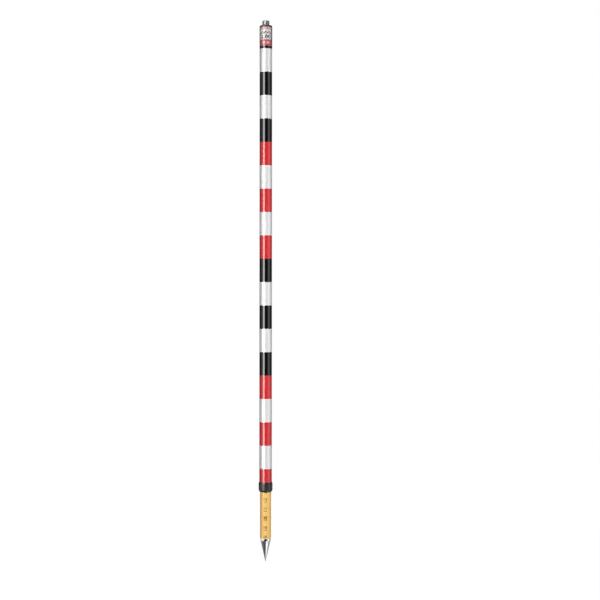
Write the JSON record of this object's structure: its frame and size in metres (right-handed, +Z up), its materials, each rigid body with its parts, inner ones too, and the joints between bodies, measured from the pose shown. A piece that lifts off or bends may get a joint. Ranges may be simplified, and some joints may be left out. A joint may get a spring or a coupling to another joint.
{
  "type": "survey prism pole",
  "caption": "Telescopic survey prism pole: black, white and red banded tube over a yellow graduated tube, with a twist lock collar, steel ground point and threaded prism stud.",
  "frame": {"origin": "end of the steel point, on the pole's axis, where the pole stands on the mark", "axes": "+Z up the pole towards the prism stud, -Y towards the viewer who reads the scale"},
  "size_m": [0.03, 0.03, 1.1612],
  "materials": {
    "point_steel": "bright turned steel",
    "plain_aluminium": "drawn or turned, uncoated",
    "yellow_tube": "yellow coat with black graduations",
    "fastener_steel": "zinc plated",
    "white_nylon": "machined nylon",
    "white_film": "gloss film",
    "red_film": "gloss film",
    "black_film": "gloss film",
    "label_film": "printed gloss label",
    "dark_aluminium": "dark anodised",
    "stud_steel": "plated thread",
    "bumper_rubber": "soft rubber",
    "slip_brass": "turned brass",
    "collar_plastic": "moulded, semi-gloss"
  },
  "bodies": {
    "lower_pole": {"tip_point": "point_steel", "tip_socket": "plain_aluminium", "inner_tube": "yellow_tube", "top_plug": "plain_aluminium", "bush_screw": "fastener_steel", "bush_washer": "fastener_steel"},
    "slider": {"slide_bush": "white_nylon"},
    "upper_pole": {"outer_tube": "plain_aluminium", "white_bands": "white_film", "red_bands": "red_film", "black_bands": "black_film", "head_label": "label_film", "head_plug": "dark_aluminium", "prism_stud": "stud_steel", "stud_pin": "fastener_steel", "plug_pins": "fastener_steel", "closing_bumper": "bumper_rubber", "compression_ring": "white_nylon"},
    "slip_ring": {"thrust_ring": "slip_brass"},
    "collar": {"lock_collar": "collar_plastic"}
  },
  "joints": [
    {"name": "pole_turn", "type": "hinge", "parent": "lower_pole", "child": "slider", "pos_m": [0, 0, 1.05], "axis": [0, 0, 1], "continuous": true},
    {"name": "pole_extend", "type": "slide", "parent": "slider", "child": "upper_pole", "axis": [0, 0, 1], "range_m": [0, 0.85]},
    {"name": "collar_drop", "type": "slide", "parent": "upper_pole", "child": "slip_ring", "axis": [0, 0, -1], "range_m": [0, 0.00075]},
    {"name": "collar_twist", "type": "hinge", "parent": "slip_ring", "child": "collar", "pos_m": [0, 0, 0.16], "axis": [0, 0, -1], "range_deg": [0, 180]}
  ],
  "couplings": [
    {"joint": "collar_drop", "follows": "collar_twist", "m_per_rad": 0.00023873}
  ]
}
